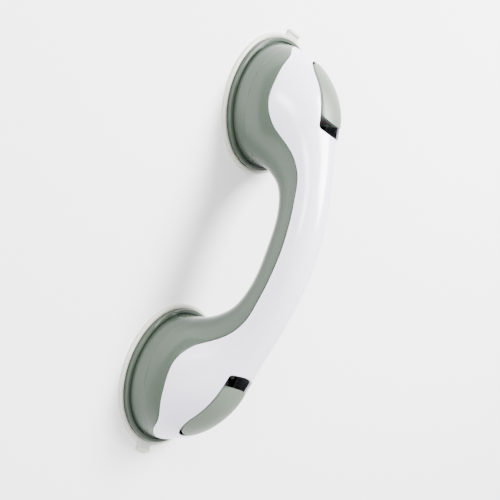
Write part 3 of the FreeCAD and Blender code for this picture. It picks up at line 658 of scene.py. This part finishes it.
def cut_lever_slots(bm, sizes):
    """Cuts both slots through both faces of the wall and rounds their outer edges."""
    radius = sizes.slot_round
    for side in (1, -1):
        cut_slot_face(bm, sizes, side, radius, 0)
        cut_slot_face(bm, sizes, side, 0, 1)
        rims = [edge for edge in bm.edges if edge.is_boundary and edge.verts[0].co.x * side > 0]
        outer = [edge for edge in rims if edge.link_faces[0].material_index == 0]
        inner = [edge for edge in rims if edge.link_faces[0].material_index == 1]
        outer = curl_rim(bm, sizes, outer, side)
        bmesh.ops.bridge_loops(bm, edges=outer + inner)
    bmesh.ops.recalc_face_normals(bm, faces=bm.faces)


def cut_slot_face(bm, sizes, side, grow, index):
    """Cuts one slot, tangent by tangent, out of one side of the wall."""
    outline = slot_outline(sizes, grow)
    reach = LEVER_HIGH.x - LEVER_LOW.x
    lowest = 18 * MM
    near_tangent = 2.5 * MM
    local = set()
    for face in bm.faces:
        middle = face.calc_center_median()
        if (face.material_index == index and middle.z > lowest and middle.x * side > 0
                and abs(plan_spot(middle, side).x) < reach and abs(middle.y) < reach / 2):
            local.add(face)
    for spot, normal in outline:
        tangent = Vector((-normal.y, normal.x))
        near = []
        for face in local:
            away = plan_spot(face.calc_center_median(), side) - spot
            if abs(away.dot(normal)) < near_tangent:
                near.append(face)
        edges = {edge for face in near for edge in face.edges}
        verts = {vert for face in near for vert in face.verts}
        made = bmesh.ops.bisect_plane(
            bm, geom=list(verts) + list(edges) + near, dist=2e-6,
            plane_co=(side * (CUP_AXIS + spot.x), side * spot.y, 0),
            plane_no=(side * normal.x, side * normal.y, 0))
        local |= {item for item in made["geom"] if isinstance(item, bmesh.types.BMFace)}
        local = {face for face in local if face.is_valid}
    inside = []
    for face in local:
        middle = plan_spot(face.calc_center_median(), side)
        if all((middle - spot).dot(normal) < 0 for spot, normal in outline):
            inside.append(face)
    bmesh.ops.delete(bm, geom=inside, context="FACES")


def curl_rim(bm, sizes, rim, side):
    """Rolls a slot's outer rim over and down by a quarter turn."""
    target = slot_outline(sizes, 0)
    radius = sizes.slot_round
    starts = {}
    for step in range(1, LIP_STEPS + 1):
        bend = math.radians(90 * step / LIP_STEPS)
        old = {vert for edge in rim for vert in edge.verts}
        made = bmesh.ops.extrude_edge_only(bm, edges=rim)["geom"]
        fresh = [item for item in made if isinstance(item, bmesh.types.BMVert)]
        rim = [item for item in made if isinstance(item, bmesh.types.BMEdge)
               and item.verts[0] not in old and item.verts[1] not in old]
        for vert in fresh:
            parent = next(edge.other_vert(vert) for edge in vert.link_edges
                          if edge.other_vert(vert) in old)
            starts[vert] = starts.get(parent) or (parent.co.copy(), rim_way(parent, target, side))
            start, way = starts[vert]
            vert.co = (start + way * radius * math.sin(bend)
                       - Vector((0, 0, radius * (1 - math.cos(bend)))))
    return rim


def rim_way(vert, outline, side):
    """The level direction from a rim point into its slot."""
    here = plan_spot(vert.co, side)
    normal = max(outline, key=lambda item: (here - item[0]).dot(item[1]))[1]
    return Vector((-side * normal.x, -side * normal.y, 0))


def dress(node, maker):
    """Gives a carried-over CAD node its finish."""
    node.data.materials.clear()
    node.data.materials.append(finish_once(maker))


class GRABBAR_OT_levers(bpy.types.Operator):
    """Finishes the two crowned, hollow levers carried over from the frame"""
    bl_idname = "grabbar.levers"
    bl_label = "Levers"

    def execute(self, context):
        for end, _ in ENDS:
            dress(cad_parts["lever_" + end], lever_plastic)
        return {"FINISHED"}


class GRABBAR_OT_pressure_plates(bpy.types.Operator):
    """Models the rim, web and guide tower under each drum"""
    bl_idname = "grabbar.pressure_plates"
    bl_label = "Pressure Plates"

    def execute(self, context):
        low, high = PLATE_LOW, PLATE_HIGH
        rim = RIM_RADIUS
        ledge = DRUM_RADIUS - 0.6 * MM
        shoulder = DRUM_RADIUS - 2.9 * MM
        top = 4.6 * MM
        seat = 16 * MM
        deck = 7.4 * MM
        tower_top = high.z
        groove = DRUM_RADIUS + 0.9 * MM
        groove_floor = top - 1.7 * MM
        profile = rounded((
            (rim, low.z, 0.4 * MM), (rim, top, 0.8 * MM), (groove, top, 0.3 * MM),
            (groove, groove_floor, 0.2 * MM), (ledge, groove_floor, 0.15 * MM),
            (ledge, CASING_FOOT, 0), (shoulder, CASING_FOOT, 0), (shoulder, deck, 0.4 * MM),
            (30 * MM, deck, 1 * MM), (13 * MM, seat + 3 * MM, 1 * MM),
            (11 * MM, seat + 4.5 * MM, 1 * MM), (11 * MM, tower_top - 3 * MM, 0.6 * MM),
            (14.5 * MM, tower_top - 1.5 * MM, 0.4 * MM), (14.5 * MM, tower_top, 0.3 * MM),
            (7.3 * MM, tower_top, 0.2 * MM), (7.3 * MM, seat, 0.2 * MM), (13 * MM, seat, 0.5 * MM),
            (29 * MM, deck - 3 * MM, 1 * MM), (38.5 * MM, deck - 3 * MM, 0.6 * MM),
            (41 * MM, low.z, 0.3 * MM)))
        for end, side in ENDS:
            bm = spun(profile, 180)
            turn_to_end(bm, side)
            piece = finish_mesh(bm, "rim_and_tower_" + end, finish_once(sage_shell))
            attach(piece, "casing")
            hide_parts("pressure_plate_" + end)
        return {"FINISHED"}


class GRABBAR_OT_suction_cups(bpy.types.Operator):
    """Models the soft cups with their lips and pull tabs"""
    bl_idname = "grabbar.suction_cups"
    bl_label = "Suction Cups"

    def execute(self, context):
        lip = LIP_RADIUS
        rim = RIM_RADIUS
        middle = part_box("suction_cup_right")[1].z
        profile = rounded((
            (0, 3.5 * MM, 0), (20 * MM, 2.6 * MM, 4 * MM), (34 * MM, 0.9 * MM, 3 * MM),
            (40 * MM, 0, 2 * MM), (lip - 0.3 * MM, 0, 0), (lip, 0.5 * MM, 0.3 * MM),
            (lip - 0.4 * MM, 1.8 * MM, 0.5 * MM), (lip - 1.2 * MM, 2.0 * MM, 0.6 * MM),
            (rim + 0.4 * MM, 1.7 * MM, 0.3 * MM), (rim + 0.3 * MM, 1.2 * MM, 0),
            (40.5 * MM, 1.2 * MM, 0), (38 * MM, 3.2 * MM, 0.5 * MM), (29 * MM, 3.3 * MM, 2 * MM),
            (15.5 * MM, middle - 0.5 * MM, 1 * MM), (14.5 * MM, middle, 0.4 * MM), (0, middle, 0)))
        for end, side in ENDS:
            bm = spun(profile, 180)
            add_tab(bm, lip)
            turn_to_end(bm, side)
            piece = finish_mesh(bm, "soft_cup_" + end, finish_once(cup_rubber))
            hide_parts("suction_cup_" + end)
            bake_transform(piece)
        return {"FINISHED"}


def add_tab(bm, lip):
    """A thin rounded tab standing out from the lip, with a bead across its end."""
    root = lip - 2 * MM
    add_slab(bm, (root, TAB_REACH), (TAB_FOOT, TAB_FOOT + TAB_THICKNESS), TAB_CORNER)
    add_slab(bm, (TAB_REACH - BEAD_WIDTH, TAB_REACH), (TAB_FOOT, TAB_FOOT + BEAD_HEIGHT),
             BEAD_CORNER)


def add_slab(bm, along, heights, corner):
    """A flat slab with rounded outer corners and eased rims."""
    made = bmesh.ops.create_cube(bm, size=1)["verts"]
    bmesh.ops.scale(
        bm, verts=made, vec=(along[1] - along[0], 2 * TAB_HALF_WIDTH, heights[1] - heights[0]))
    bmesh.ops.translate(
        bm, verts=made, vec=((along[0] + along[1]) / 2, 0, (heights[0] + heights[1]) / 2))
    inside = set(made)
    corners = [edge for edge in bm.edges if inside.issuperset(edge.verts)
               and abs(edge.verts[0].co.x - edge.verts[1].co.x) < 1e-6
               and abs(edge.verts[0].co.y - edge.verts[1].co.y) < 1e-6
               and edge.verts[0].co.x > along[1] - 1e-6]
    eased = bmesh.ops.bevel(
        bm, geom=corners, offset=corner, offset_type="OFFSET", affect="EDGES",
        segments=6, profile=0.5, material=-1)
    inside = {vert for vert in inside if vert.is_valid} | set(eased["verts"])
    rims = [edge for edge in bm.edges if inside.issuperset(edge.verts)
            and edge.calc_face_angle(0) > 1.2]
    bmesh.ops.bevel(
        bm, geom=rims, offset=0.3 * MM, offset_type="OFFSET", affect="EDGES",
        segments=3, profile=0.5, material=-1)


class GRABBAR_OT_works(bpy.types.Operator):
    """Finishes the inner works carried over from the frame"""
    bl_idname = "grabbar.works"
    bl_label = "Inner Works"

    def execute(self, context):
        finishes = {
            "cup_stem": stem_plastic, "pivot_pin": plated_steel,
            "cam_wear_plate": plated_steel, "release_spring": plated_steel}
        for end, _ in ENDS:
            for piece, maker in finishes.items():
                dress(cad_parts["%s_%s" % (piece, end)], maker)
        for piece in ("deck_screws", "cover_screws"):
            dress(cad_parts[piece], plated_steel)
        return {"FINISHED"}


# ------------------------------------------------------------------ stage

class GRABBAR_OT_stage(bpy.types.Operator):
    """Sets the pale wall, the soft lights and the camera"""
    bl_idname = "grabbar.stage"
    bl_label = "Stage"

    def execute(self, context):
        self.make_wall(context)
        self.make_lights(context)
        self.make_camera(context)
        return {"FINISHED"}

    def make_wall(self, context):
        bm = bmesh.new()
        bmesh.ops.create_grid(bm, x_segments=1, y_segments=1, size=6)
        bmesh.ops.translate(bm, verts=bm.verts, vec=(0, 0, -0.0002))
        material, shader = new_material("pale wall")
        shader.inputs["Base Color"].default_value = (0.96, 0.96, 0.96, 1)
        shader.inputs["Roughness"].default_value = 0.9
        shader.inputs["Specular IOR Level"].default_value = 0.1
        finish_mesh(bm, "pale_wall", material)

    def make_lights(self, context):
        world = bpy.data.worlds.new("soft room")
        world.use_nodes = True
        background = world.node_tree.nodes["Background"]
        background.inputs["Color"].default_value = (1, 1, 1, 1)
        background.inputs["Strength"].default_value = 1.35
        context.scene.world = world
        for name, place, size, power in (
                ("key", (0.75, -0.35, 0.95), 0.6, 75.0),
                ("window", (0.35, 0.75, 0.55), 0.25, 6.0),
                ("fill", (-0.9, 0.9, 1.0), 1.2, 10.0)):
            lamp = bpy.data.lights.new(name, "AREA")
            lamp.energy = power
            lamp.size = size
            holder = bpy.data.objects.new(name, lamp)
            holder.location = place
            way = Vector((0, 0, 0.03)) - Vector(place)
            holder.rotation_euler = way.to_track_quat("-Z", "Y").to_euler()
            context.scene.collection.objects.link(holder)

    def make_camera(self, context):
        lens = bpy.data.cameras.new("camera")
        lens.sensor_width = 36
        lens.lens = 105.07
        lens.clip_start = 0.01
        camera = bpy.data.objects.new("camera", lens)
        right = Vector((0.3375, -0.5184, 0.7857))
        back = Vector((-0.1101, 0.8072, 0.5799))
        up = back.cross(right)
        turned = Matrix((right, up, back)).transposed().to_4x4()
        camera.matrix_world = Matrix.Translation((-0.1072, 0.7679, 0.5794)) @ turned
        context.scene.collection.objects.link(camera)
        context.scene.camera = camera


class VIEW3D_PT_grab_bar(bpy.types.Panel):
    """Lists the grab bar's pieces in the sidebar"""
    bl_label = "Grab Bar"
    bl_space_type = "VIEW_3D"
    bl_region_type = "UI"
    bl_category = "Grab Bar"

    def draw(self, context):
        layout = self.layout
        for group in (context.scene.grab_bar_sizes, context.scene.grab_bar_colours):
            for key in group.__annotations__:
                layout.prop(group, key)
        for operator in OPERATORS:
            layout.operator(operator.bl_idname)


OPERATORS = (
    GRABBAR_OT_covers,
    GRABBAR_OT_levers,
    GRABBAR_OT_pressure_plates,
    GRABBAR_OT_suction_cups,
    GRABBAR_OT_works,
    GRABBAR_OT_stage,
)
CLASSES = (GrabBarSizes, GrabBarColours, VIEW3D_PT_grab_bar) + OPERATORS


def register():
    for item in CLASSES:
        bpy.utils.register_class(item)
    bpy.types.Scene.grab_bar_sizes = bpy.props.PointerProperty(type=GrabBarSizes)
    bpy.types.Scene.grab_bar_colours = bpy.props.PointerProperty(type=GrabBarColours)


def unregister():
    del bpy.types.Scene.grab_bar_colours
    del bpy.types.Scene.grab_bar_sizes
    for item in reversed(CLASSES):
        bpy.utils.unregister_class(item)


def main():
    register()
    bpy.ops.grabbar.covers()
    bpy.ops.grabbar.levers()
    bpy.ops.grabbar.pressure_plates()
    bpy.ops.grabbar.suction_cups()
    bpy.ops.grabbar.works()
    bpy.ops.grabbar.stage()


if __name__ == "__main__":
    main()
